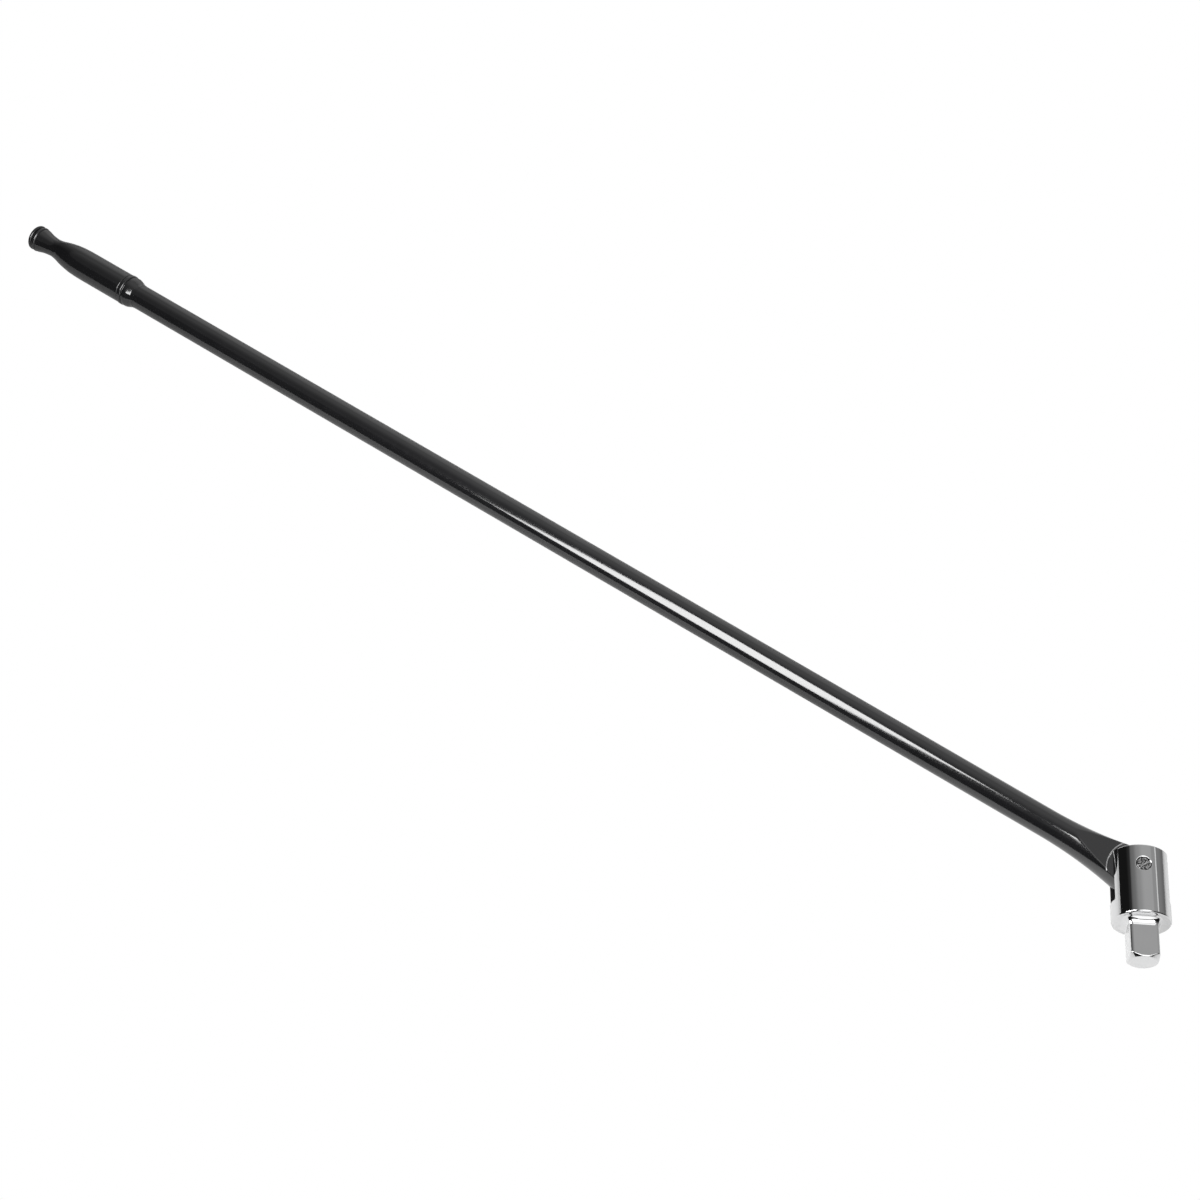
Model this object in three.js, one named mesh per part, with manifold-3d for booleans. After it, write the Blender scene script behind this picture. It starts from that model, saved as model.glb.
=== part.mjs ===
// Breaker bar with a swivelling drive head, 3/4 inch square drive, 1 m class.
// Millimetres, +Z up. The tool lies on its side with the pivot pin upright and its head swung part
// of the way round; the origin is under the middle of its box.
// The bar runs along X with its grip at -X. Positions on the bar are measured from the pivot pin's
// centre, and positions on the grip from its free end. The head has a frame of its own, with +X
// towards the tip of the square.

import * as THREE from 'three';
import { mergeVertices } from 'three/addons/utils/BufferGeometryUtils.js';
import Module from 'manifold-3d';

const wasm = await Module();
wasm.setup();

// Bar
const BAR_LENGTH = 990; // pivot centre to the free end of the grip
const SHAFT_R = 9.7;
const TENON_R = 5; // turned-down end of the shaft, inside the grip
const FLARE_START = 70; // where the shaft begins to widen, from the pivot
const FLARE_RATE = 0.00113;
const FLARE_POWER = 2.1;
const FLARE_STEP = 7; // spacing of the flare's sections
const TANG_HALF = 7.4; // half the thickness of the tang between the ears
const TANG_END_R = 16; // rounded end of the tang, about the pivot
const TANG_FACE_R = 22.4; // radius of the faced area round the pivot
const FLAT_STEP = 0.9; // how far the forged flats stand above that area
const FLAT_SLOPE = 0.092; // rise of the forged flats towards the shaft

// Head
const HEAD_R = 19.25;
const HEAD_TOP = -13.85; // flat top, along the head's axis from the pivot
const HEAD_SHOULDER = 34.15; // face that a socket stops against
const HEAD_RIM = 0.9; // chamfer round both rims
const SLOT_HALF = 7.8;
const SLOT_FLOOR = 21.3;
const DRIVE = 19.05; // across the flats
const DRIVE_CORNER_R = 12.6; // the square's corners are turned to this radius
const DRIVE_TIP = 61.05;
const DRIVE_CHAMFER = 2.75; // length of the turned cone at the tip
const DRIVE_TIP_R = 8.9;
const NECK_R = 14.7; // foot of the fillet between shoulder and square
const NECK_LENGTH = 5.15;
const NECK_INSET = 0.1; // how far inside the square's flats the fillet ends
const HEAD_SWIVEL = 59.05; // degrees that the head is swung from straight

// Pivot pin, and the ball and spring that hold the head where it is put
const PIN_R = 4.5;
const PIN_HALF = 18.75;
const PIN_COUNTERSINK = 0.6;
const FRICTION_BALL_R = 2.5;
const FRICTION_OFFSET = 10; // from the pivot, towards the grip
const FRICTION_HOLE_FLOOR = -4.4;
const FRICTION_COIL_R = 1.8;
const FRICTION_TURNS = 5;

// Ball and spring in the square, that hold a socket
const DETENT_BALL_R = 3;
const DETENT_FROM_TIP = 10.5;
const DETENT_STAND = 1.25; // how far the ball stands out of the flat
const DETENT_HOLE_R = 3.25;
const DETENT_LIP = 1; // depth of the lip that keeps the ball in
const DETENT_LIP_R = 2.7;
const DETENT_HOLE_FLOOR = 3; // beyond the square's axis
const DETENT_COIL_R = 2.3;
const DETENT_TURNS = 4;
const WIRE_R = 0.4; // wire of both springs

// Grip, positions from its free end
const GRIP_R = 12;
const KNOB_R = 10.1;
const CAP_LENGTH = 2.8;
const CAP_SHANK = 12;
const CAP_ROUNDING = 1.2;
const GRIP_START = 3.1;
const GRIP_END = 97.5;
const COLLAR_START = 97.8;
const COLLAR_END = 112.2;
const COLLAR_R = 11.95;
const BEAD_R = 12.35;
const BEAD_LENGTH = 3.5;
const BEAD_ROUNDING = 0.5;
const GROOVE_DEPTH = 0.5; // groove between the bead and the nose of the collar
const GROOVE_LENGTH = 0.5;
const NOSE_LIP = 0.15; // thickness of the collar where it meets the shaft

const EDGE_BREAK = 0.4; // small chamfer on turned edges
const FIT = 0.2; // clearance all round a shaft, pin or ball
const GAP = 0.3; // clearance end to end
const REACH = 60; // size of the cutters, well past anything they cut

// Geometry helpers

// A solid of revolution about X. The profile is a list of [x, radius].
function turned(profile, sides = 40) {
  const points = profile.map(([x, radius]) => new THREE.Vector2(radius, x));
  const geometry = new THREE.LatheGeometry(points, sides);
  return geometry.rotateZ(-Math.PI / 2);
}

function upright(geometry) {
  return geometry.rotateY(-Math.PI / 2);
}

function rod(low, high, radius, sides = 40) {
  return turned([[low, 0], [low, radius], [high, radius], [high, 0]], sides);
}

function block(low, high) {
  const size = high.map((value, axis) => value - low[axis]);
  const middle = high.map((value, axis) => (value + low[axis]) / 2);
  return new THREE.BoxGeometry(...size).translate(...middle);
}

// A closed geometry as a manifold solid, whichever way round its faces were wound.
function solid(geometry) {
  const bare = geometry.index ? geometry.toNonIndexed() : geometry.clone();
  bare.deleteAttribute('normal');
  bare.deleteAttribute('uv');
  const merged = mergeVertices(bare, 1e-4);
  const corners = merged.index.array;
  const kept = [];
  for (let i = 0; i < corners.length; i += 3) {
    const [a, b, c] = corners.slice(i, i + 3);
    if (a !== b && b !== c && c !== a) kept.push([a, b, c]);
  }
  const vertProperties = merged.attributes.position.array;
  const made = new wasm.Manifold(new wasm.Mesh({
    numProp: 3, vertProperties, triVerts: new Uint32Array(kept.flat()),
  }));
  if (made.volume() > 0) return made;
  const turnedRound = kept.map(([a, b, c]) => [a, c, b]);
  return new wasm.Manifold(new wasm.Mesh({
    numProp: 3, vertProperties, triVerts: new Uint32Array(turnedRound.flat()),
  }));
}

function geometryOf(manifold) {
  const mesh = manifold.getMesh();
  const geometry = new THREE.BufferGeometry();
  geometry.setAttribute('position', new THREE.BufferAttribute(mesh.vertProperties, 3));
  geometry.setIndex(new THREE.BufferAttribute(mesh.triVerts, 1));
  const flat = geometry.toNonIndexed();
  flat.computeVertexNormals();
  return flat;
}

const fromGripEnd = (profile) => profile.map(([x, radius]) => [x - BAR_LENGTH, radius]);

// Bar: one forging, with a turned-down tenon, a round shaft, a flare, and a tang faced thin enough
// to fit between the ears of the head.

function flareRadius(fromPivot) {
  return SHAFT_R + FLARE_RATE * Math.max(FLARE_START - fromPivot, 0) ** FLARE_POWER;
}

function barBlank() {
  const tenonEnd = CAP_SHANK + GAP - BAR_LENGTH;
  const shoulder = COLLAR_START - BAR_LENGTH;
  const profile = [[tenonEnd, 0], [tenonEnd, TENON_R], [shoulder, TENON_R], [shoulder, SHAFT_R]];
  for (let fromPivot = FLARE_START; fromPivot >= 0; fromPivot -= FLARE_STEP) {
    profile.push([-fromPivot, flareRadius(fromPivot)]);
  }
  profile.push([TANG_END_R + 1, flareRadius(0)], [TANG_END_R + 1, 0]);
  return solid(turned(profile));
}

function tangEnd() {
  const outline = new THREE.Shape();
  outline.moveTo(0, -TANG_END_R);
  outline.absarc(0, 0, TANG_END_R, -Math.PI / 2, Math.PI / 2);
  outline.lineTo(-FLARE_START, TANG_END_R);
  outline.lineTo(-FLARE_START - BAR_LENGTH, TANG_END_R);
  outline.lineTo(-FLARE_START - BAR_LENGTH, -TANG_END_R);
  const settings = { depth: REACH, bevelEnabled: false, curveSegments: 32 };
  return solid(new THREE.ExtrudeGeometry(outline, settings).translate(0, 0, -REACH / 2));
}

// The cutter above one forged flat: a wedge whose underside rises towards the shaft.
function flatCutter() {
  const heightAt = (fromPivot) => TANG_HALF + FLAT_STEP + FLAT_SLOPE * (fromPivot - TANG_FACE_R);
  const outline = new THREE.Shape();
  outline.moveTo(REACH, heightAt(-REACH));
  outline.lineTo(REACH, REACH);
  outline.lineTo(-REACH, REACH);
  outline.lineTo(-REACH, heightAt(REACH));
  const wedge = new THREE.ExtrudeGeometry(outline, { depth: 2 * REACH, bevelEnabled: false });
  return wedge.rotateX(Math.PI / 2).translate(0, REACH, 0);
}

function barSolid() {
  let bar = barBlank().intersect(tangEnd());
  for (const side of [0, Math.PI]) {
    bar = bar.subtract(solid(flatCutter().rotateX(side)));
    const facing = upright(rod(TANG_HALF, REACH, TANG_FACE_R, 64));
    bar = bar.subtract(solid(facing.rotateX(side)));
  }
  bar = bar.subtract(solid(upright(rod(-REACH, REACH, PIN_R + FIT))));
  const ballHole = upright(rod(FRICTION_HOLE_FLOOR, REACH, FRICTION_BALL_R + FIT, 24));
  return bar.subtract(solid(ballHole.translate(-FRICTION_OFFSET, 0, 0)));
}

// Grip: a turned sleeve on the tenon, with a plug in its free end and a collar on the shaft.

function gripProfile() {
  const waist = new THREE.SplineCurve([
    new THREE.Vector2(6.7, KNOB_R),
    new THREE.Vector2(8.6, 9.45),
    new THREE.Vector2(12.5, 8.32),
    new THREE.Vector2(17, 7.66),
    new THREE.Vector2(21.2, 7.44),
    new THREE.Vector2(26.1, 8.12),
    new THREE.Vector2(30.1, 9.15),
    new THREE.Vector2(35.7, 10.37),
    new THREE.Vector2(43, 11.43),
    new THREE.Vector2(50.3, 11.88),
    new THREE.Vector2(57, GRIP_R),
  ]);
  const bore = TENON_R + FIT;
  return [
    [GRIP_START, bore],
    [GRIP_START, KNOB_R - EDGE_BREAK],
    [GRIP_START + EDGE_BREAK, KNOB_R],
    ...waist.getPoints(24).map((point) => [point.x, point.y]),
    [GRIP_END - EDGE_BREAK, GRIP_R],
    [GRIP_END, GRIP_R - EDGE_BREAK],
    [GRIP_END, bore],
    [GRIP_START, bore],
  ];
}

function capProfile() {
  return [
    [0, 0],
    [0, KNOB_R - CAP_ROUNDING],
    [CAP_ROUNDING / 3, KNOB_R - CAP_ROUNDING / 3],
    [CAP_ROUNDING, KNOB_R],
    [CAP_LENGTH - EDGE_BREAK, KNOB_R],
    [CAP_LENGTH, KNOB_R - EDGE_BREAK],
    [CAP_LENGTH, TENON_R],
    [CAP_SHANK, TENON_R],
    [CAP_SHANK, 0],
  ];
}

function collarProfile() {
  const nose = new THREE.SplineCurve([
    new THREE.Vector2(104, COLLAR_R),
    new THREE.Vector2(105.7, 11.75),
    new THREE.Vector2(107, 11.4),
    new THREE.Vector2(108.3, 10.95),
    new THREE.Vector2(109.8, 10.42),
    new THREE.Vector2(COLLAR_END, SHAFT_R + FIT + NOSE_LIP),
  ]);
  const bore = SHAFT_R + FIT;
  const beadEnd = COLLAR_START + BEAD_LENGTH;
  const grooveFloor = COLLAR_R - GROOVE_DEPTH;
  const grooveEnd = beadEnd + GROOVE_LENGTH;
  return [
    [COLLAR_START, bore],
    [COLLAR_START, BEAD_R - BEAD_ROUNDING],
    [COLLAR_START + BEAD_ROUNDING, BEAD_R],
    [beadEnd - BEAD_ROUNDING, BEAD_R],
    [beadEnd, BEAD_R - BEAD_ROUNDING],
    [beadEnd, grooveFloor],
    [grooveEnd, grooveFloor],
    [grooveEnd + EDGE_BREAK, COLLAR_R],
    ...nose.getPoints(10).map((point) => [point.x, point.y]),
    [COLLAR_END, bore],
    [COLLAR_START, bore],
  ];
}

// Head: a turned cylinder with a square turned and milled on one end, slotted for the tang.

function neckFillet(steps = 6) {
  const foot = DRIVE / 2 - NECK_INSET;
  const points = [];
  for (let i = 0; i <= steps; i += 1) {
    const angle = (i / steps) * (Math.PI / 2);
    const x = HEAD_SHOULDER + NECK_LENGTH * (1 - Math.cos(angle));
    points.push([x, NECK_R - (NECK_R - foot) * Math.sin(angle)]);
  }
  return points;
}

function headBlank() {
  return solid(turned([
    [HEAD_TOP, 0],
    [HEAD_TOP, HEAD_R - HEAD_RIM],
    [HEAD_TOP + HEAD_RIM, HEAD_R],
    [HEAD_SHOULDER - HEAD_RIM, HEAD_R],
    [HEAD_SHOULDER, HEAD_R - HEAD_RIM],
    ...neckFillet(),
    [HEAD_SHOULDER + NECK_LENGTH, 0],
  ], 64));
}

function driveSquare() {
  const half = DRIVE / 2;
  const start = HEAD_SHOULDER - 1;
  const square = solid(block([start, -half, -half], [DRIVE_TIP, half, half]));
  const cornerTurning = solid(turned([
    [start, 0],
    [start, DRIVE_CORNER_R],
    [DRIVE_TIP - DRIVE_CHAMFER, DRIVE_CORNER_R],
    [DRIVE_TIP, DRIVE_TIP_R],
    [DRIVE_TIP, 0],
  ], 64));
  return square.intersect(cornerTurning);
}

// The blind hole for the ball that holds a socket, drilled from the underside of the square. Its
// mouth is closed in to a lip that follows the ball.
function detentHole() {
  const half = DRIVE / 2;
  const hole = turned([
    [-REACH, 0],
    [-REACH, DETENT_LIP_R],
    [-half, DETENT_LIP_R],
    [-half + DETENT_LIP, DETENT_HOLE_R],
    [DETENT_HOLE_FLOOR, DETENT_HOLE_R],
    [DETENT_HOLE_FLOOR, 0],
  ], 32);
  return solid(upright(hole).translate(DRIVE_TIP - DETENT_FROM_TIP, 0, 0));
}

function pinHole() {
  const wall = PIN_R + FIT;
  const mouth = wall + PIN_COUNTERSINK;
  const inset = HEAD_R - 2 * PIN_COUNTERSINK;
  return solid(upright(turned([
    [-REACH, 0],
    [-REACH, mouth],
    [-HEAD_R, mouth],
    [-inset, wall],
    [inset, wall],
    [HEAD_R, mouth],
    [REACH, mouth],
    [REACH, 0],
  ])));
}

function headSolid() {
  const slot = block([-REACH, -REACH, -SLOT_HALF], [SLOT_FLOOR, REACH, SLOT_HALF]);
  return headBlank()
    .add(driveSquare())
    .subtract(solid(slot))
    .subtract(pinHole())
    .subtract(detentHole());
}

function pinProfile() {
  return [
    [-PIN_HALF, 0],
    [-PIN_HALF, PIN_R - EDGE_BREAK],
    [-PIN_HALF + EDGE_BREAK, PIN_R],
    [PIN_HALF - EDGE_BREAK, PIN_R],
    [PIN_HALF, PIN_R - EDGE_BREAK],
    [PIN_HALF, 0],
  ];
}

// Coil spring along Z, from the low end to the high end of its wire.
function springGeometry(low, high, coilR, turns) {
  class Helix extends THREE.Curve {
    getPoint(t, target = new THREE.Vector3()) {
      const angle = 2 * Math.PI * turns * t;
      const z = low + WIRE_R + (high - low - 2 * WIRE_R) * t;
      return target.set(coilR * Math.cos(angle), coilR * Math.sin(angle), z);
    }
  }
  const wire = new THREE.Shape();
  wire.absarc(0, 0, WIRE_R, 0, 2 * Math.PI);
  return new THREE.ExtrudeGeometry(wire, {
    steps: turns * 12, extrudePath: new Helix(), curveSegments: 3, bevelEnabled: false,
  });
}

// Materials

const BLACK = { color: 0x17181a, roughness: 0.22, metalness: 0.3 };
const CHROME = { color: 0xd6d8da, roughness: 0.08, metalness: 1 };
const PIN_STEEL = { color: 0x55565a, roughness: 0.5, metalness: 0.9 };
const BALL_STEEL = { color: 0xb9bcc0, roughness: 0.15, metalness: 1 };
const SPRING_STEEL = { color: 0x8d8f93, roughness: 0.35, metalness: 1 };

function piece(name, geometry, look) {
  const mesh = new THREE.Mesh(geometry, new THREE.MeshStandardMaterial(look));
  mesh.name = name;
  return mesh;
}

// Assembly

const bar = new THREE.Group();
const frictionBallZ = SLOT_HALF - GAP - FRICTION_BALL_R;
const frictionBallShape = new THREE.SphereGeometry(FRICTION_BALL_R, 20, 14);
const frictionBall = piece('friction_ball', frictionBallShape, BALL_STEEL);
frictionBall.position.set(-FRICTION_OFFSET, 0, frictionBallZ);
const frictionCoil = springGeometry(
  FRICTION_HOLE_FLOOR + GAP,
  frictionBallZ - FRICTION_BALL_R - GAP,
  FRICTION_COIL_R,
  FRICTION_TURNS,
);
const frictionSpring = piece('friction_spring', frictionCoil, SPRING_STEEL);
frictionSpring.position.set(-FRICTION_OFFSET, 0, 0);
bar.add(
  piece('bar', geometryOf(barSolid()), BLACK),
  piece('grip', geometryOf(solid(turned(fromGripEnd(gripProfile())))), BLACK),
  piece('grip_collar', geometryOf(solid(turned(fromGripEnd(collarProfile())))), BLACK),
  piece('grip_end_cap', geometryOf(solid(turned(fromGripEnd(capProfile())))), BLACK),
  frictionBall,
  frictionSpring,
);

const head = new THREE.Group();
head.rotation.z = -THREE.MathUtils.degToRad(HEAD_SWIVEL);
const detentX = DRIVE_TIP - DETENT_FROM_TIP;
const detentBallZ = -DRIVE / 2 - DETENT_STAND + DETENT_BALL_R;
const detentBallShape = new THREE.SphereGeometry(DETENT_BALL_R, 24, 16);
const detentBall = piece('detent_ball', detentBallShape, BALL_STEEL);
detentBall.position.set(detentX, 0, detentBallZ);
const detentCoil = springGeometry(
  detentBallZ + DETENT_BALL_R + GAP,
  DETENT_HOLE_FLOOR - GAP,
  DETENT_COIL_R,
  DETENT_TURNS,
);
const detentSpring = piece('detent_spring', detentCoil, SPRING_STEEL);
detentSpring.position.set(detentX, 0, 0);
head.add(
  piece('drive_head', geometryOf(headSolid()), CHROME),
  piece('pivot_pin', geometryOf(solid(upright(turned(pinProfile())))), PIN_STEEL),
  detentBall,
  detentSpring,
);

const tool = new THREE.Group();
tool.add(bar, head);
const box = new THREE.Box3().setFromObject(tool, true);
tool.position.set(-(box.min.x + box.max.x) / 2, -(box.min.y + box.max.y) / 2, -box.min.z);

const breakerBar = new THREE.Group();
breakerBar.add(tool);

export default breakerBar;
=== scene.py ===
"""Breaker bar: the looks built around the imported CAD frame. Sizes are metres, angles are degrees."""

import math

import bpy
import numpy as np
from mathutils import Matrix, Quaternion, Vector, noise


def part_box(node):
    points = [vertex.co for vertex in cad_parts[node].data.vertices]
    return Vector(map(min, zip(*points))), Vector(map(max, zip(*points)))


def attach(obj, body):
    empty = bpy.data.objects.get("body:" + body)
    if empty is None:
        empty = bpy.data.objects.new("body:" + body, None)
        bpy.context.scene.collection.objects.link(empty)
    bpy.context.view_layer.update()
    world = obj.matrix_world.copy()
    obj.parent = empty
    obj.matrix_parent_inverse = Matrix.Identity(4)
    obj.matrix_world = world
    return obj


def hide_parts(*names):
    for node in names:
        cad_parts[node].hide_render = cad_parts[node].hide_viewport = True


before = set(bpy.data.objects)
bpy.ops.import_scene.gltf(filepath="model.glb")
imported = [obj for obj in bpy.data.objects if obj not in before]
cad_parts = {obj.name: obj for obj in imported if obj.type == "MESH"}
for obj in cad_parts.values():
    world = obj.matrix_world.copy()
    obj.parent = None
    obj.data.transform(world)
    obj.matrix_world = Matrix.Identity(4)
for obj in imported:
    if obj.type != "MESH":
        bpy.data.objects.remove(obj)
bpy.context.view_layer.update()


def middle(node):
    low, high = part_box(node)
    return (low + high) / 2


def extent(node):
    low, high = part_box(node)
    return high - low


# ---------------------------------------------------------------- sizes

PIN = middle("pivot_pin")
GRIP_END = PIN.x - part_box("grip_end_cap")[0].x
TIP_DIRECTION = (middle("detent_ball") - PIN) * Vector((1, 1, 0))
BAR_FRAME = Matrix.Translation(PIN)
HEAD_FRAME = BAR_FRAME @ Matrix.Rotation(math.atan2(TIP_DIRECTION.y, TIP_DIRECTION.x), 4, "Z")
GRIP_FRAME = Matrix.Translation(PIN - Vector((GRIP_END, 0, 0)))

# The bar, from the pivot towards the grip
SHAFT_R = 0.0097
TENON_R = 0.005
TENON_END = 0.0123
FLARE_START = 0.070
FLARE_RATE = 2.255
FLARE_POWER = 2.1
TANG_HALF = 0.0074
TANG_END_R = 0.016
TANG_FACE_R = 0.0224
FLAT_STEP = 0.0009
FLAT_SLOPE = 0.092
FACING_FILLET = 0.002
FORGED_EDGE = 0.0008
FLAT_EDGE = 0.0005
FACED_EDGE = 0.00025
HIGHLIGHT_BAND_WIDTH = 0.0006
FRICTION_OFFSET = 0.010
FRICTION_HOLE_R = 0.0027
FRICTION_HOLE_FLOOR = -0.0044

# The head, along its axis from the pivot
HEAD_R = extent("drive_head").z / 2
HEAD_TOP = -0.01385
HEAD_SHOULDER = 0.03415
HEAD_RIM_R = 0.0011
SLOT_HALF = 0.0078
SLOT_FLOOR = 0.0213
SLOT_CORNER_R = 0.0008
SLOT_EDGE = 0.0004
DRIVE_HALF = 0.01905 / 2
DRIVE_CORNER_R = 0.0126
DRIVE_EDGE = 0.0006
DRIVE_CORNER_EDGE = 0.0009
DRIVE_TIP = 0.06105
DRIVE_TIP_R = 0.0089
DRIVE_CHAMFER = 0.00275
CHAMFER_EDGE = 0.0003
TIP_EDGE = 0.0004
NECK_FILLET_R = 0.0052
PIN_R = 0.0045
PIN_HOLE_R = 0.0047
PIN_HOLE_RIM = 0.0008
PIN_HALF = extent("pivot_pin").z / 2
PIN_EDGE = 0.0004
DISH_DEPTH = 0.0002
DENT_DEPTH = 0.0002
DENT_SIZE = 0.0006
DENT_REACH = 0.93
BALL_R = extent("detent_ball").z / 2
BALL_HOLE_R = 0.00325
BALL_LIP_R = 0.0027
BALL_LIP = 0.001
BALL_HOLE_DEPTH = 0.0125
BALL_EDGE = 0.0002
BALL_PLACE = HEAD_FRAME.inverted() @ middle("detent_ball")

# The grip, from its free end
KNOB_R = extent("grip_end_cap").z / 2
GRIP_R = extent("grip").z / 2
BEAD_R = extent("grip_collar").z / 2
COLLAR_R = 0.01195
CAP_LENGTH = 0.0028
CAP_SHANK = 0.012
SLEEVE_START = 0.0031
KNOB_BEAD_R = 0.0018
SLEEVE_END = 0.0975
SLEEVE_GAP = 0.0002
COLLAR_START = 0.0978
COLLAR_END = 0.1122
COLLAR_GAP = 0.00003
BEAD_LENGTH = 0.0035


# ---------------------------------------------------------------- meshes

def add_piece(name, vertices, faces, place, normals=None):
    """A smooth shaded mesh made in a frame of its own, with exact normals where they are known."""
    turn, shift = np.array(place.to_3x3()), np.array(place.translation)
    mesh = bpy.data.meshes.new(name)
    mesh.from_pydata((np.asarray(vertices) @ turn.T + shift).tolist(), [], faces)
    mesh.shade_smooth()
    mesh.validate()
    if normals is not None:
        mesh.normals_split_custom_set_from_vertices((np.asarray(normals) @ turn.T).tolist())
    piece = bpy.data.objects.new(name, mesh)
    bpy.context.scene.collection.objects.link(piece)
    return piece


def dress(piece, material, body, slot, *nodes):
    """Gives a piece its material and its body, and hides the CAD nodes it stands for. Its slot is not
    used.
    """
    piece.data.materials.clear()
    piece.data.materials.append(material)
    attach(piece, body)
    if nodes:
        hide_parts(*nodes)


def both(a, b, radius):
    """Distance to what is inside both shapes, with the edge between them rounded."""
    edge = np.hypot(np.maximum(radius + a, 0), np.maximum(radius + b, 0))
    return np.minimum(-radius, np.maximum(a, b)) + edge


def either(a, b, radius):
    """Distance to what is inside either shape, with the corner between them filled."""
    return -both(-a, -b, radius)


def slope_of(distance, points, step=2e-6):
    """Unit normals of a distance function at some points."""
    normals = np.empty_like(points)
    for axis in range(3):
        offset = np.zeros(3)
        offset[axis] = step
        ahead, behind = points + offset, points - offset
        normals[:, axis] = distance(*ahead.T) - distance(*behind.T)
    return normals / np.linalg.norm(normals, axis=1, keepdims=True)


def level_surface(distance, low, high, step, rounds=6):
    """Vertices, faces and normals of the surface where a distance function is zero."""
    axes = [np.arange(a, b + step, step) for a, b in zip(low, high)]
    inside = distance(*np.meshgrid(*axes, indexing="ij")) < 0
    corners = [
        inside[i : i - 1 or None, j : j - 1 or None, k : k - 1 or None]
        for i in (0, 1)
        for j in (0, 1)
        for k in (0, 1)
    ]
    crossed = np.logical_or.reduce(corners) & ~np.logical_and.reduce(corners)
    number = np.full(crossed.shape, -1)
    number[crossed] = np.arange(crossed.sum())
    points = np.stack([axis[index] for axis, index in zip(axes, np.nonzero(crossed))], 1) + step / 2
    for _ in range(rounds):
        points -= slope_of(distance, points) * distance(*points.T)[:, None]

    faces = []
    for axis in range(3):
        across, beside = (axis + 1) % 3, (axis + 2) % 3
        order = (axis, across, beside)
        cells = number.transpose(order)
        filled = inside.transpose(order)
        near, far = filled[:-1, 1:-1, 1:-1], filled[1:, 1:-1, 1:-1]
        i, j, k = np.nonzero(near != far)
        around = [cells[i, j, k], cells[i, j + 1, k], cells[i, j + 1, k + 1], cells[i, j, k + 1]]
        quads = np.stack(around, 1)
        entering = far[i, j, k]
        quads[entering] = quads[entering][:, ::-1]
        faces += quads.tolist()
    return points, faces, slope_of(distance, points)


def ring_faces(rings, sides, closed=False):
    """Quads between rings of vertices that follow one another."""
    faces = []
    for ring in range(rings if closed else rings - 1):
        a, b = ring * sides, (ring + 1) % rings * sides
        for side in range(sides):
            after = (side + 1) % sides
            faces.append((a + side, a + after, b + after, b + side))
    return faces


def arc(centre, radius, start, end, steps=6):
    """Points on an arc in a profile, from one angle to another."""
    angles = np.radians(np.linspace(start, end, steps + 1))
    return [(centre[0] + radius * math.cos(a), centre[1] + radius * math.sin(a)) for a in angles]


def spline(points, steps=8):
    """A smooth curve through some points of a profile."""
    padded = np.array([points[0], *points, points[-1]])
    curve = []
    for before, a, b, after in zip(padded, padded[1:], padded[2:], padded[3:]):
        for t in np.arange(steps) / steps:
            bend = (b - before) * t / 2 + (2 * before - 5 * a + 4 * b - after) * t**2 / 2
            curve.append(tuple(a + bend + (3 * a - before - 3 * b + after) * t**3 / 2))
    return [*curve, tuple(points[-1])]


def profile_normals(profile, closed):
    """Outward normals at a profile's points. Long stretches count for more than short ones."""
    points = np.array(profile)
    runs = np.roll(points, -1, axis=0) - points
    if not closed:
        runs[-1] = 0
    turned_out = np.stack([-runs[:, 1], runs[:, 0]], 1) * np.linalg.norm(runs, axis=1)[:, None]
    total = turned_out + np.roll(turned_out, 1, axis=0)
    return total / np.linalg.norm(total, axis=1, keepdims=True)


def turned(name, profile, place, sides=144, closed=False, dent=None):
    """A turned piece about X. An open profile starts and ends on the axis, in flat faces."""
    normals = profile_normals(profile, closed)
    rims = slice(None) if closed else slice(1, -1)
    points = np.array(profile)[rims]
    normals = normals[rims]
    angles = np.arange(sides) * 2 * math.pi / sides
    spin = np.stack([np.cos(angles), np.sin(angles)], 1)

    def around(pairs):
        along = np.repeat(pairs[:, :1], sides, axis=1)[..., None]
        return np.concatenate([along, pairs[:, None, 1:] * spin], axis=2).reshape(-1, 3)

    faces = ring_faces(len(points), sides, closed)
    if not closed:
        last = (len(points) - 1) * sides
        faces += [list(range(sides))[::-1], list(range(last, last + sides))]
    if dent is not None:
        return add_piece(name, dent(around(points)), faces, place)
    return add_piece(name, around(points), faces, place, around(normals))


# ---------------------------------------------------------------- bar

def flare_radius(x):
    return SHAFT_R + FLARE_RATE * np.maximum(FLARE_START + x, 0) ** FLARE_POWER


def bar_distance(x, y, z):
    flare = np.hypot(y, z) - flare_radius(x)
    from_pivot = np.hypot(x, y)
    sides = np.where(x > 0, from_pivot, np.abs(y)) - TANG_END_R
    flats = np.abs(z) - (TANG_HALF + FLAT_STEP - FLAT_SLOPE * (x + TANG_FACE_R))
    forging = both(both(flare, sides, FORGED_EDGE), flats, FLAT_EDGE)
    facing = both(from_pivot - TANG_FACE_R, TANG_HALF - np.abs(z), FACING_FILLET)
    return both(forging, -facing, FACED_EDGE)


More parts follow.
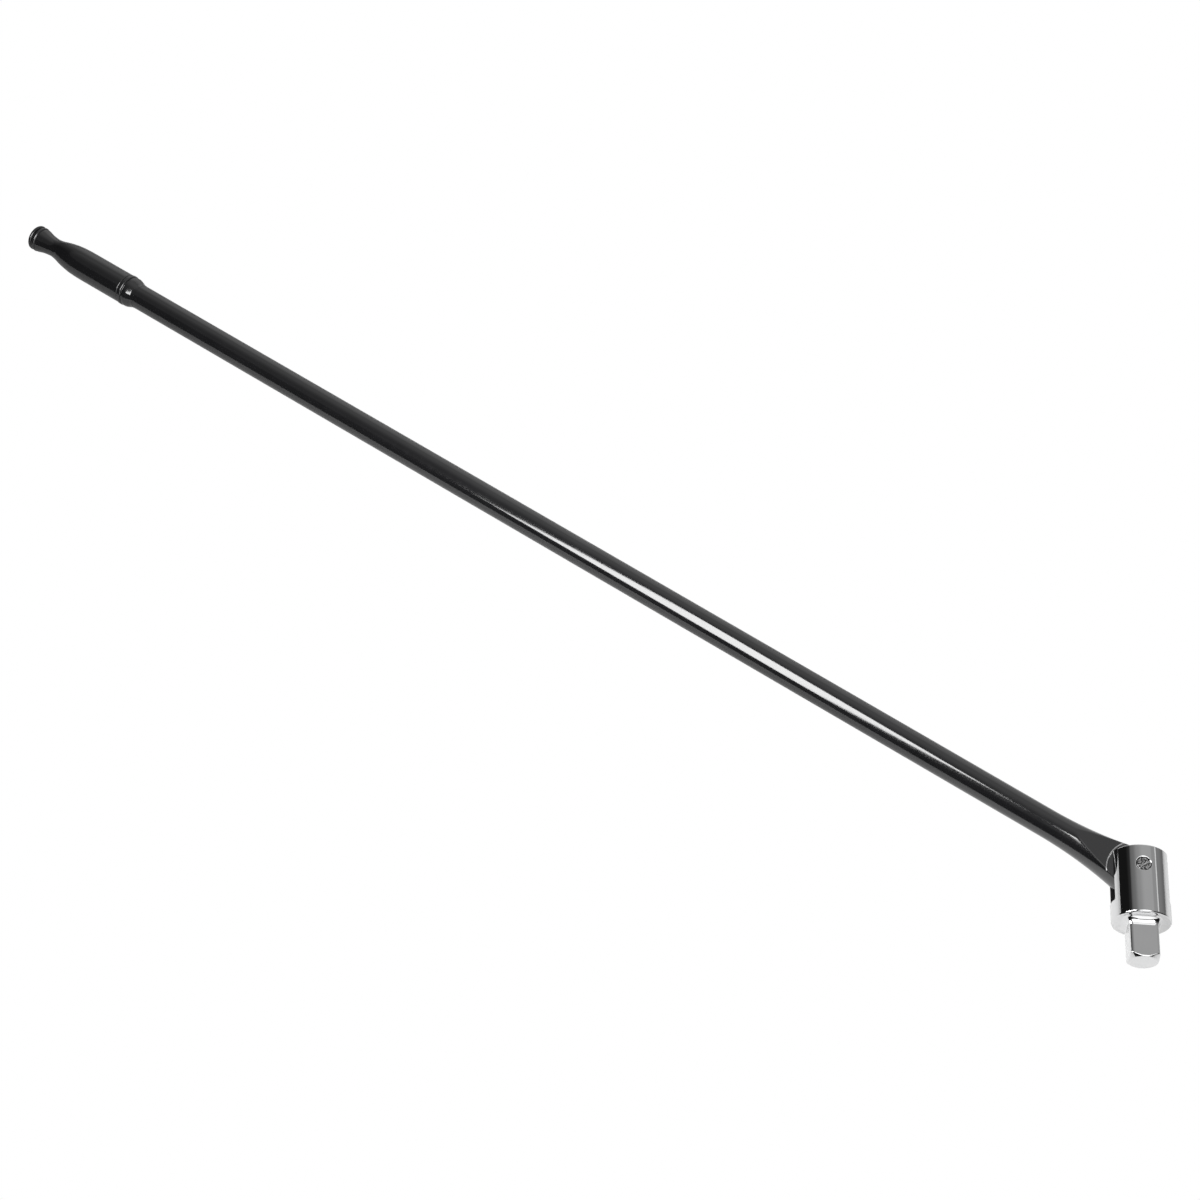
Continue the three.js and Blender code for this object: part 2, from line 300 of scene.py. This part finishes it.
def build_bar(sides=256, halvings=36, fine=0.0004, coarse=0.001):
    """The forging as rings of vertices, each found along rays from the bar's axis."""
    collar = COLLAR_START - GRIP_END
    round_end = TANG_END_R * np.sin(np.radians(np.linspace(88, 0, 24)))
    faced = np.arange(-fine, -1.2 * TANG_FACE_R, -fine)
    flare = np.arange(faced[-1] - coarse, -1.1 * FLARE_START, -coarse)
    shaft = np.linspace(flare[-1], collar, 12)[1:]
    stations = np.concatenate([round_end, faced, flare, shaft])

    angles = np.arange(sides) * 2 * math.pi / sides
    x = np.repeat(stations[:, None], sides, axis=1)
    low, high = np.zeros_like(x), np.full_like(x, 2 * HEAD_R)
    for _ in range(halvings):
        radius = (low + high) / 2
        inside = bar_distance(x, radius * np.cos(angles), radius * np.sin(angles)) < 0
        low, high = np.where(inside, radius, low), np.where(inside, high, radius)

    tenon = TENON_END - GRIP_END
    x = np.concatenate([x, np.full((2, sides), collar), np.full((1, sides), tenon)])
    radius = np.concatenate([radius, np.full((1, sides), SHAFT_R), np.full((2, sides), TENON_R)])
    points = np.stack([x, radius * np.cos(angles), radius * np.sin(angles)], 2).reshape(-1, 3)
    last = (len(x) - 1) * sides
    faces = [face[::-1] for face in ring_faces(len(x), sides)]
    faces += [list(range(sides)), list(range(last, last + sides))[::-1]]
    bar = add_piece("forged_bar", points, faces, BAR_FRAME)
    bore(bar, 0, PIN_HOLE_R, -HEAD_R)
    bore(bar, -FRICTION_OFFSET, FRICTION_HOLE_R, FRICTION_HOLE_FLOOR)

    points = np.array([vertex.co for vertex in bar.data.vertices]) - np.array(PIN)
    bar.data.normals_split_custom_set_from_vertices(slope_of(bored_distance, points).tolist())
    return bar


def bored_distance(x, y, z):
    """The bar with its pin hole and the blind hole for the friction ball, both hidden by the head."""
    pin_hole = np.hypot(x, y) - PIN_HOLE_R
    ball_hole = np.maximum(np.hypot(x + FRICTION_OFFSET, y) - FRICTION_HOLE_R, FRICTION_HOLE_FLOOR - z)
    return np.maximum(bar_distance(x, y, z), -np.minimum(pin_hole, ball_hole))


def bore(piece, x, radius, floor, sides=48):
    """Cuts an upright hole through the tang, from a floor to past the top."""
    angles = np.arange(sides) * 2 * math.pi / sides
    rim = [(x + radius * math.cos(a), radius * math.sin(a)) for a in angles]
    vertices = [(*point, z) for z in (floor, HEAD_R) for point in rim]
    faces = ring_faces(2, sides) + [list(range(sides))[::-1], list(range(sides, 2 * sides))]
    cutter = add_piece("cutter", vertices, faces, BAR_FRAME)
    cut = piece.modifiers.new("Bore", "BOOLEAN")
    cut.operation = "DIFFERENCE"
    cut.object = cutter
    cut.solver = "EXACT"
    bpy.context.view_layer.update()
    evaluated = piece.evaluated_get(bpy.context.evaluated_depsgraph_get())
    mesh = bpy.data.meshes.new_from_object(evaluated)
    piece.modifiers.clear()
    piece.data = mesh
    bpy.data.objects.remove(cutter)


# ---------------------------------------------------------------- head

def head_distance(x, y, z):
    across = np.hypot(y, z)
    length = np.maximum(HEAD_TOP - x, x - HEAD_SHOULDER)
    body = both(across - HEAD_R, length, HEAD_RIM_R)
    flats = both(np.abs(y) - DRIVE_HALF, np.abs(z) - DRIVE_HALF, DRIVE_EDGE)
    square = both(flats, across - DRIVE_CORNER_R, DRIVE_CORNER_EDGE)
    cone_start = DRIVE_TIP - DRIVE_CHAMFER
    cone_height = DRIVE_CORNER_R - DRIVE_TIP_R
    cone = ((x - cone_start) * cone_height + (across - DRIVE_CORNER_R) * DRIVE_CHAMFER) / math.hypot(
        cone_height, DRIVE_CHAMFER)
    tip = both(x - DRIVE_TIP, cone, TIP_EDGE)
    square = both(np.maximum(square, -x), tip, CHAMFER_EDGE)
    solid = either(body, square, NECK_FILLET_R)

    slot = both(np.abs(z) - SLOT_HALF, x - SLOT_FLOOR, SLOT_CORNER_R)
    solid = both(solid, -slot, SLOT_EDGE)
    pin_hole = np.hypot(x, y) - PIN_HOLE_R
    solid = both(solid, -pin_hole, PIN_HOLE_RIM)
    from_ball = np.hypot(x - BALL_PLACE.x, y)
    below = z + DRIVE_HALF
    narrow = both(from_ball - BALL_LIP_R, below - BALL_LIP, BALL_EDGE)
    wide = both(from_ball - BALL_HOLE_R, np.maximum(BALL_LIP - below, below - BALL_HOLE_DEPTH), BALL_EDGE)
    return both(solid, -np.minimum(narrow, wide), BALL_EDGE)


def build_head(step=0.00042):
    margin = 0.0012
    low = (HEAD_TOP - margin, -HEAD_R - margin, -HEAD_R - margin)
    high = (DRIVE_TIP + margin, HEAD_R + margin, HEAD_R + margin)
    vertices, faces, normals = level_surface(head_distance, low, high, step)
    return add_piece("chromed_head", vertices, faces, HEAD_FRAME, normals)


def hammered(points):
    """Dents the flat ends of the pin, less and less towards their rims."""
    dented = points.copy()
    for point in dented:
        x, y, z = point
        share = math.hypot(y, z) / PIN_R
        if share < DENT_REACH:
            dents = abs(noise.noise(Vector((y, z, x)) / DENT_SIZE))
            point[0] -= math.copysign((DISH_DEPTH + DENT_DEPTH * dents) * (1 - share**4), x)
    return dented


def build_pin(sides=96):
    """The pin, with ends that are dished and hammered over."""
    face = [(PIN_HALF, PIN_R * share) for share in np.linspace(0, 0.9, 30)]
    edge = arc((PIN_HALF - PIN_EDGE, PIN_R - PIN_EDGE), PIN_EDGE, 0, 90, 5)
    half = [*face, *edge]
    profile = [*((-x, r) for x, r in half), *half[::-1]]
    upright = HEAD_FRAME @ Matrix.Rotation(math.radians(-90), 4, "Y")
    return turned("staked_pin", profile, upright, sides, dent=hammered)


def build_ball():
    profile = arc((0, 0), BALL_R, 180, 0, steps=32)
    return turned("socket_ball", profile, HEAD_FRAME @ Matrix.Translation(BALL_PLACE), sides=64)


# ---------------------------------------------------------------- grip

def build_sleeve():
    waist = spline([
        (0.0073, 0.0096), (0.0086, 0.00935), (0.0125, 0.00832), (0.017, 0.00766), (0.0212, 0.00744),
        (0.0261, 0.00812), (0.0301, 0.00915), (0.0357, 0.01037), (0.043, 0.01143), (0.0503, 0.01188),
        (0.057, GRIP_R),
    ])
    bore_r = TENON_R + SLEEVE_GAP
    soft = 0.0009
    profile = [
        (SLEEVE_START, bore_r),
        *arc((SLEEVE_START + KNOB_BEAD_R, KNOB_R - KNOB_BEAD_R), KNOB_BEAD_R, 160, 15, 12),
        *waist,
        *arc((SLEEVE_END - soft, GRIP_R - soft), soft, 90, 0),
        (SLEEVE_END, bore_r),
    ]
    return turned("grip_sleeve", profile, GRIP_FRAME, closed=True)


def build_plug():
    crown_r = CAP_LENGTH / 2
    profile = [
        (0, 0),
        *arc((crown_r, KNOB_R - crown_r), crown_r, 180, 10, 16),
        (CAP_LENGTH, TENON_R),
        (CAP_SHANK, TENON_R),
        (CAP_SHANK, 0),
    ]
    return turned("end_plug", profile, GRIP_FRAME)


def build_collar():
    soft = 0.0006
    groove = 0.0003
    lip = 0.0001
    nose = spline([
        (0.1041, COLLAR_R), (0.1055, 0.01162), (0.107, 0.01106), (0.1085, 0.01047), (0.11, 0.00992),
        (COLLAR_END, SHAFT_R + lip),
    ])
    bore_r = SHAFT_R + COLLAR_GAP
    bead_end = COLLAR_START + BEAD_LENGTH
    profile = [
        (COLLAR_START, bore_r),
        *arc((COLLAR_START + soft, BEAD_R - soft), soft, 180, 90),
        *arc((bead_end - 2 * soft, BEAD_R - 2 * soft), 2 * soft, 90, 0, 10),
        *arc((bead_end + groove, COLLAR_R - soft), groove, 180, 360),
        *arc((bead_end + 3 * groove + lip, COLLAR_R - groove), groove, 150, 90, 3),
        *nose,
        (COLLAR_END, bore_r),
    ]
    return turned("collar_ring", profile, GRIP_FRAME, closed=True)


# ---------------------------------------------------------------- materials

def new_material(name, place):
    """A material, its tree and shader, and coordinates in a part's own frame."""
    material = bpy.data.materials.new(name)
    material.use_nodes = True
    tree = material.node_tree
    shader = tree.nodes["Principled BSDF"]
    mapping = tree.nodes.new("ShaderNodeMapping")
    mapping.vector_type = "TEXTURE"
    mapping.inputs["Location"].default_value = place.translation
    mapping.inputs["Rotation"].default_value = place.to_euler()
    tree.links.new(tree.nodes.new("ShaderNodeTexCoord").outputs["Object"], mapping.inputs["Vector"])
    return material, tree, shader, mapping.outputs["Vector"]


def add_noise(tree, coordinates, size, detail=3.0, stretch=(1, 1, 1)):
    """Noise with features of a size in metres, drawn out along an axis by a small stretch there."""
    mapping = tree.nodes.new("ShaderNodeMapping")
    mapping.inputs["Scale"].default_value = stretch
    tree.links.new(coordinates, mapping.inputs["Vector"])
    texture = tree.nodes.new("ShaderNodeTexNoise")
    texture.inputs["Scale"].default_value = 1 / size
    texture.inputs["Detail"].default_value = detail
    tree.links.new(mapping.outputs["Vector"], texture.inputs["Vector"])
    return texture.outputs["Fac"]


def add_range(tree, value, low, high, start=0.3, end=0.7):
    """A value taken from the range start to end into the range low to high."""
    remap = tree.nodes.new("ShaderNodeMapRange")
    for name, number in (("From Min", start), ("From Max", end), ("To Min", low), ("To Max", high)):
        remap.inputs[name].default_value = number
    tree.links.new(value, remap.inputs["Value"])
    return remap.outputs["Result"]


def feed(tree, socket, value):
    """Links a socket to another one, or gives it a value of its own."""
    if isinstance(value, bpy.types.NodeSocket):
        tree.links.new(value, socket)
    else:
        socket.default_value = value


def add_mix(tree, share, low, high):
    """A colour between two others."""
    mix = tree.nodes.new("ShaderNodeMix")
    mix.data_type = "RGBA"
    feed(tree, mix.inputs["A"], low)
    feed(tree, mix.inputs["B"], high)
    feed(tree, mix.inputs["Factor"], share)
    return mix.outputs["Result"]


def add_math(tree, operation, *values):
    """The result of a maths node on sockets and numbers."""
    node = tree.nodes.new("ShaderNodeMath")
    node.operation = operation
    for socket, value in zip(node.inputs, values):
        feed(tree, socket, value)
    return node.outputs["Value"]


def add_axes(tree, place):
    """The three coordinates of a place, by the names X, Y and Z."""
    axes = tree.nodes.new("ShaderNodeSeparateXYZ")
    tree.links.new(place, axes.inputs["Vector"])
    return axes.outputs


def add_distance(tree, place, centre):
    away = tree.nodes.new("ShaderNodeVectorMath")
    away.operation = "DISTANCE"
    away.inputs[1].default_value = centre
    tree.links.new(place, away.inputs[0])
    return away.outputs["Value"]


def add_bump(tree, height, depth, normal=None):
    bump = tree.nodes.new("ShaderNodeBump")
    bump.inputs["Distance"].default_value = depth
    tree.links.new(height, bump.inputs["Height"])
    if normal is not None:
        tree.links.new(normal, bump.inputs["Normal"])
    return bump.outputs["Normal"]


def highlight_band_mask(tree, place):
    """One along the upper rim of the step that facing the tang cuts, and nothing elsewhere: the band of
    painted highlight.
    """
    axes = add_axes(tree, place)
    across = add_math(tree, "MULTIPLY", axes["Y"], axes["Y"])
    reach = add_math(tree, "SQRT", add_math(tree, "MULTIPLY_ADD", axes["X"], axes["X"], across))
    edge = TANG_FACE_R - HIGHLIGHT_BAND_WIDTH
    inner = add_range(tree, reach, 0, 1, start=edge - HIGHLIGHT_BAND_WIDTH / 4, end=edge)
    outer = add_range(tree, reach, 1, 0, start=TANG_FACE_R, end=TANG_FACE_R + HIGHLIGHT_BAND_WIDTH / 4)
    upper = add_range(tree, axes["Z"], 0, 1, start=TANG_HALF - HIGHLIGHT_BAND_WIDTH / 3, end=TANG_HALF)
    return add_math(tree, "MULTIPLY", add_math(tree, "MULTIPLY", inner, outer), upper)


def black_coat():
    """Gloss black coat over steel: deep, a little uneven, with a faint orange peel and a painted highlight
    along the rim of the tang's facing.
    """
    material, tree, shader, place = new_material("gloss_black_coat", BAR_FRAME)
    shader.inputs["IOR"].default_value = 1.8
    patches = add_noise(tree, place, size=0.02, detail=4)
    # Painted highlight: a band along the upper rim of the tang's facing, made pale grey metal.
    painted_highlight = highlight_band_mask(tree, place)
    black = add_mix(tree, patches, (0.006, 0.006, 0.0065, 1), (0.011, 0.011, 0.012, 1))
    # The painted highlight mixes pale metallic grey into the black here.
    tree.links.new(add_mix(tree, painted_highlight, black, (0.5, 0.5, 0.5, 1)), shader.inputs["Base Color"])
    tree.links.new(painted_highlight, shader.inputs["Metallic"])
    haze = add_range(tree, add_noise(tree, place, size=0.006, detail=5), 0.10, 0.15)
    tree.links.new(add_math(tree, "MULTIPLY_ADD", painted_highlight, 0.3, haze), shader.inputs["Roughness"])
    peel = add_noise(tree, place, size=0.0016, detail=2)
    waves = add_noise(tree, place, size=0.012, detail=1, stretch=(0.3, 1, 1))
    peeled = add_bump(tree, peel, depth=0.000005)
    tree.links.new(add_bump(tree, waves, 0.00004, peeled), shader.inputs["Normal"])
    return material


def in_slot(tree, place):
    """One where the slot is, and nothing elsewhere: the recess that gets painted shade and a rougher
    finish.
    """
    axes = add_axes(tree, place)
    height = add_math(tree, "ABSOLUTE", axes["Z"])
    edge = SLOT_CORNER_R / 2
    between = add_range(tree, height, 1, 0, start=SLOT_HALF + edge / 4, end=SLOT_HALF + edge)
    above = add_range(tree, axes["X"], 1, 0, start=SLOT_FLOOR, end=SLOT_FLOOR + edge)
    return add_math(tree, "MULTIPLY", between, above)


def chrome():
    """Bright nickel chrome plate with faint polishing lines and slight waviness, and painted shade inside
    the slot.
    """
    material, tree, shader, place = new_material("bright_chrome", HEAD_FRAME)
    shader.inputs["Metallic"].default_value = 1
    tone = add_noise(tree, place, size=0.015, detail=3)
    bright = add_mix(tree, tone, (0.66, 0.665, 0.67, 1), (0.70, 0.70, 0.70, 1))
    # Painted shade: inside the slot the plate is painted near black and made rougher.
    slot_shade_mask = in_slot(tree, place)
    dark = add_mix(tree, tone, (0.03, 0.03, 0.032, 1), (0.07, 0.07, 0.07, 1))
    tree.links.new(add_mix(tree, slot_shade_mask, bright, dark), shader.inputs["Base Color"])
    lines = add_noise(tree, place, size=0.0006, detail=4, stretch=(0.06, 1, 1))
    polished = add_range(tree, lines, 0.025, 0.07)
    tree.links.new(add_math(tree, "MULTIPLY_ADD", slot_shade_mask, 0.4, polished), shader.inputs["Roughness"])
    waves = add_noise(tree, place, size=0.009, detail=1)
    brushed = add_bump(tree, lines, depth=0.000001)
    tree.links.new(add_bump(tree, waves, 0.00001, brushed), shader.inputs["Normal"])
    return material


def pin_steel():
    """Hammered, oiled end of a steel pin, dark and rough."""
    material, tree, shader, place = new_material("staked_pin_steel", HEAD_FRAME)
    shader.inputs["Metallic"].default_value = 0.9
    grain = add_noise(tree, place, size=0.0009, detail=5)
    contrast = add_range(tree, grain, 0, 1, start=0.43, end=0.57)
    mottled = add_mix(tree, contrast, (0.012, 0.012, 0.013, 1), (0.48, 0.48, 0.48, 1))
    tree.links.new(mottled, shader.inputs["Base Color"])
    tree.links.new(add_range(tree, grain, 0.5, 0.3), shader.inputs["Roughness"])
    tree.links.new(add_bump(tree, grain, depth=0.0002), shader.inputs["Normal"])
    return material


def ball_steel():
    """Hardened ball with a polished track and tiny pits."""
    material, tree, shader, place = new_material("bearing_ball_steel", HEAD_FRAME)
    shader.inputs["Metallic"].default_value = 1
    track = add_noise(tree, place, size=0.0009, detail=3, stretch=(1, 1, 0.2))
    pits = add_noise(tree, place, size=0.0002, detail=2)
    worn = add_mix(tree, track, (0.42, 0.42, 0.43, 1), (0.6, 0.6, 0.6, 1))
    tree.links.new(worn, shader.inputs["Base Color"])
    tree.links.new(add_range(tree, track, 0.08, 0.2), shader.inputs["Roughness"])
    tree.links.new(add_bump(tree, pits, depth=0.000003), shader.inputs["Normal"])
    return material


def spring_steel():
    """Drawn spring wire, with lines of the die and a slight blueing."""
    material, tree, shader, place = new_material("drawn_spring_wire", HEAD_FRAME)
    shader.inputs["Metallic"].default_value = 1
    drawn = add_noise(tree, place, size=0.0003, detail=4, stretch=(1, 1, 0.4))
    wire = add_mix(tree, drawn, (0.2, 0.21, 0.23, 1), (0.42, 0.41, 0.4, 1))
    tree.links.new(wire, shader.inputs["Base Color"])
    tree.links.new(add_range(tree, drawn, 0.25, 0.45), shader.inputs["Roughness"])
    tree.links.new(add_bump(tree, drawn, depth=0.00001), shader.inputs["Normal"])
    return material


# ---------------------------------------------------------------- studio

def glow(name, radiance):
    material = bpy.data.materials.new(name)
    material.use_nodes = True
    tree = material.node_tree
    tree.nodes.remove(tree.nodes["Principled BSDF"])
    emission = tree.nodes.new("ShaderNodeEmission")
    emission.inputs["Strength"].default_value = radiance
    tree.links.new(emission.outputs["Emission"], tree.nodes["Material Output"].inputs["Surface"])
    return material


def pale_paper():
    """White paper that glows a little round the head, less and less away from it."""
    material = bpy.data.materials.new("white_paper")
    material.use_nodes = True
    tree = material.node_tree
    shader = tree.nodes["Principled BSDF"]
    shader.inputs["Base Color"].default_value = (0.42, 0.42, 0.42, 1)
    shader.inputs["Roughness"].default_value = 0.9
    shader.inputs["Specular IOR Level"].default_value = 0.1
    place = tree.nodes.new("ShaderNodeTexCoord").outputs["Object"]
    away = add_distance(tree, place, HEAD_FRAME @ Vector((DRIVE_TIP / 2, 0, 0)))
    fading = add_range(tree, away, 0.52, 0.05, start=0.06, end=0.25)
    tree.links.new(fading, shader.inputs["Emission Strength"])
    shader.inputs["Emission Color"].default_value = (1, 1, 1, 1)
    return material


def add_sheet(name, low, high, material):
    corners = [(low[0], low[1], 0), (high[0], low[1], 0), (high[0], high[1], 0), (low[0], high[1], 0)]
    sheet = add_piece(name, corners, [(0, 1, 2, 3)], Matrix.Identity(4))
    sheet.data.materials.append(material)
    return sheet


def build_floor():
    """Paper that takes the light and shows in reflections, under a plain surface for the eye."""
    paper = add_sheet("paper", (-1.2, -0.2), (1.2, 0.25), pale_paper())
    paper.visible_camera = False
    seen = add_sheet("floor", (-60, -60), (60, 60), glow("plain_white", 1.0))
    seen.visible_glossy = False
    seen.visible_diffuse = False
    seen.visible_shadow = False


def add_softbox(name, place, aim, width, height, radiance, roll=0):
    """A soft light of a given brightness, which the camera sees only in reflections."""
    data = bpy.data.lights.new(name, "AREA")
    data.shape = "RECTANGLE"
    data.size, data.size_y = width, height
    data.energy = radiance * width * height * math.pi
    light = bpy.data.objects.new(name, data)
    light.location = place
    light.visible_camera = False
    light.rotation_mode = "QUATERNION"
    upright = (place - aim).to_track_quat("Z", "Y")
    light.rotation_quaternion = upright @ Quaternion((0, 0, 1), math.radians(roll))
    bpy.context.scene.collection.objects.link(light)


def build_room():
    """A dim studio: light behind the object, a lamp low in front and a dark doorway to the right."""
    world = bpy.data.worlds.new("studio")
    bpy.context.scene.world = world
    world.use_nodes = True
    tree = world.node_tree
    direction = tree.nodes.new("ShaderNodeTexCoord").outputs["Generated"]

    def level(towards, stops):
        facing = tree.nodes.new("ShaderNodeVectorMath")
        facing.operation = "DOT_PRODUCT"
        facing.inputs[1].default_value = Vector(towards).normalized()
        tree.links.new(direction, facing.inputs[0])
        ramp = tree.nodes.new("ShaderNodeValToRGB")
        ramp.color_ramp.interpolation = "EASE"
        elements = ramp.color_ramp.elements
        elements.remove(elements[1])
        elements[0].position = stops[0][0]
        for position, _ in stops[1:]:
            elements.new(position)
        for element, (_, value) in zip(elements, stops):
            element.color = (value, value, value, 1)
        tree.links.new(facing.outputs["Value"], ramp.inputs["Fac"])
        return ramp.outputs["Color"]

    wall = ((0.25, 0.01), (0.37, 0.03), (0.53, 0.11), (0.70, 0.26), (0.86, 0.37))
    back = level((0, 0.86, 0.51), wall)
    behind = level((-0.3, 0.94, 0.15), ((0.80, 0.0), (0.97, 0.32)))
    ceiling = level((0, 0, 1), ((0.64, 0.0), (0.70, 0.09)))
    front = level((0.655, -0.735, 0.2), ((0.93, 0.0), (0.975, 1.5)))
    doorway = level((0.49, 0.853, 0.17), ((0.93, 1.0), (0.965, 0.7)))
    room = back
    for glimmer in (behind, ceiling, front):
        room = add_math(tree, "ADD", room, glimmer)
    room = add_math(tree, "MULTIPLY", room, doorway)
    tree.links.new(room, tree.nodes["Background"].inputs["Color"])


def build_backdrop():
    """A plain pale shell round everything, for the eye only."""
    profile = arc((0, 0), radius=50, start=180, end=0, steps=24)
    shell = turned("backdrop", profile, Matrix.Identity(4), sides=48)
    shell.data.materials.append(glow("plain_backdrop", 1.0))
    shell.visible_glossy = False
    shell.visible_diffuse = False
    shell.visible_shadow = False


def build_camera():
    azimuth, elevation, roll, distance = 37.64, 56.24, -2.25, 1.583
    aim = Vector((0.0607, -0.0070, PIN.z))
    data = bpy.data.cameras.new("camera")
    data.sensor_width = 36
    data.lens = 66.9
    data.clip_end = 200
    camera = bpy.data.objects.new("camera", data)
    turn = Matrix.Rotation(math.radians(azimuth), 4, "Z")
    tilt = Matrix.Rotation(math.radians(90 - elevation), 4, "X")
    spin = Matrix.Rotation(math.radians(roll), 4, "Z")
    back = Matrix.Translation((0, 0, distance))
    camera.matrix_world = Matrix.Translation(aim) @ turn @ tilt @ spin @ back
    bpy.context.scene.collection.objects.link(camera)
    bpy.context.scene.camera = camera


# ---------------------------------------------------------------- assembly

coat, plate = black_coat(), chrome()
pin_finish, ball_finish, spring_finish = pin_steel(), ball_steel(), spring_steel()

bar = build_bar()
dress(bar, coat, "handle", "black_coat", "bar")
dress(build_sleeve(), coat, "handle", "black_coat", "grip")
dress(build_plug(), coat, "handle", "black_coat", "grip_end_cap")
dress(build_collar(), coat, "handle", "black_coat", "grip_collar")
dress(build_head(), plate, "head", "chrome", "drive_head")
dress(build_pin(), pin_finish, "head", "pin_steel", "pivot_pin")
dress(build_ball(), ball_finish, "detent", "ball_steel", "detent_ball")

for node, finish, slot in (
    ("friction_ball", ball_finish, "ball_steel"),
    ("friction_spring", spring_finish, "spring_steel"),
    ("detent_spring", spring_finish, "spring_steel"),
):
    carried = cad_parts[node]
    carried.data.materials.clear()
    carried.data.materials.append(finish)
    carried.data.shade_smooth()

build_floor()
build_backdrop()
build_room()
add_softbox(
    "key", Vector((-0.062, -0.401, 0.664)), Vector((0.158, 0.018, PIN.z)),
    width=0.415, height=0.698, radiance=10, roll=4,
)
add_softbox("fill", PIN + Vector((0.34, -0.42, 0.84)), PIN, width=0.75, height=0.5, radiance=2.5, roll=-28)
add_softbox("overhead", PIN + Vector((0.22, -0.02, 0.97)) * 1.3, PIN, width=0.9, height=0.9, radiance=1)
add_softbox("far_strip", PIN + Vector((0.43, 0.78, 0.45)) * 3, PIN, width=0.8, height=0.22, radiance=0.6)
build_camera()
bpy.context.scene.view_settings.view_transform = "Standard"
